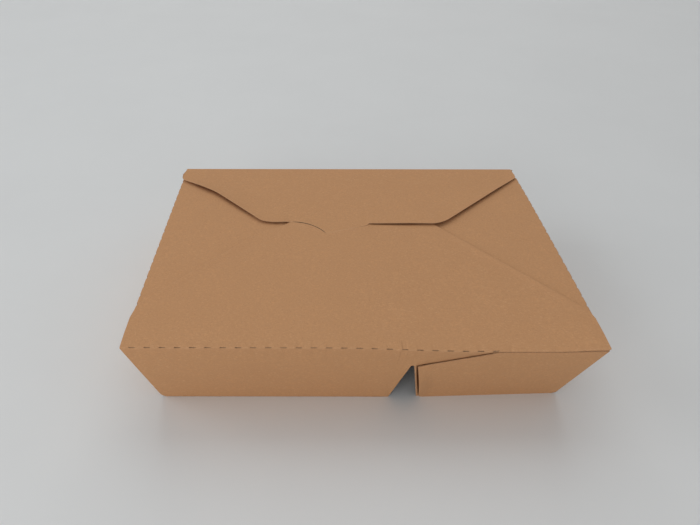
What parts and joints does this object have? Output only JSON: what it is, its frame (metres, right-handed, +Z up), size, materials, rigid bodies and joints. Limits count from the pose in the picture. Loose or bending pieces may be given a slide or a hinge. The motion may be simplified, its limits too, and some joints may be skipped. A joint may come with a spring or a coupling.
{
  "type": "folded takeaway box",
  "caption": "Shallow kraft board takeaway box with sloping walls and folded top flaps; the back flap lifts on its crease to open it.",
  "frame": {"origin": "centre of the base's underside, on the surface the box stands on", "axes": "+X along the long side to the right, +Y to the back where the hinged flap is, +Z up out of the mouth"},
  "size_m": [0.2176, 0.1592, 0.0485],
  "materials": {
    "kraft_board": "matte uncoated kraft board",
    "kraft_flap": "matte uncoated kraft board"
  },
  "bodies": {
    "box": {"box_body": "kraft_board"},
    "lid": {"back_flap": "kraft_flap"}
  },
  "joints": [
    {"name": "back_flap_hinge", "type": "hinge", "parent": "box", "child": "lid", "pos_m": [0, 0.0795, 0.04815], "axis": [-1, 0, 0], "range_deg": [0, 180]}
  ]
}
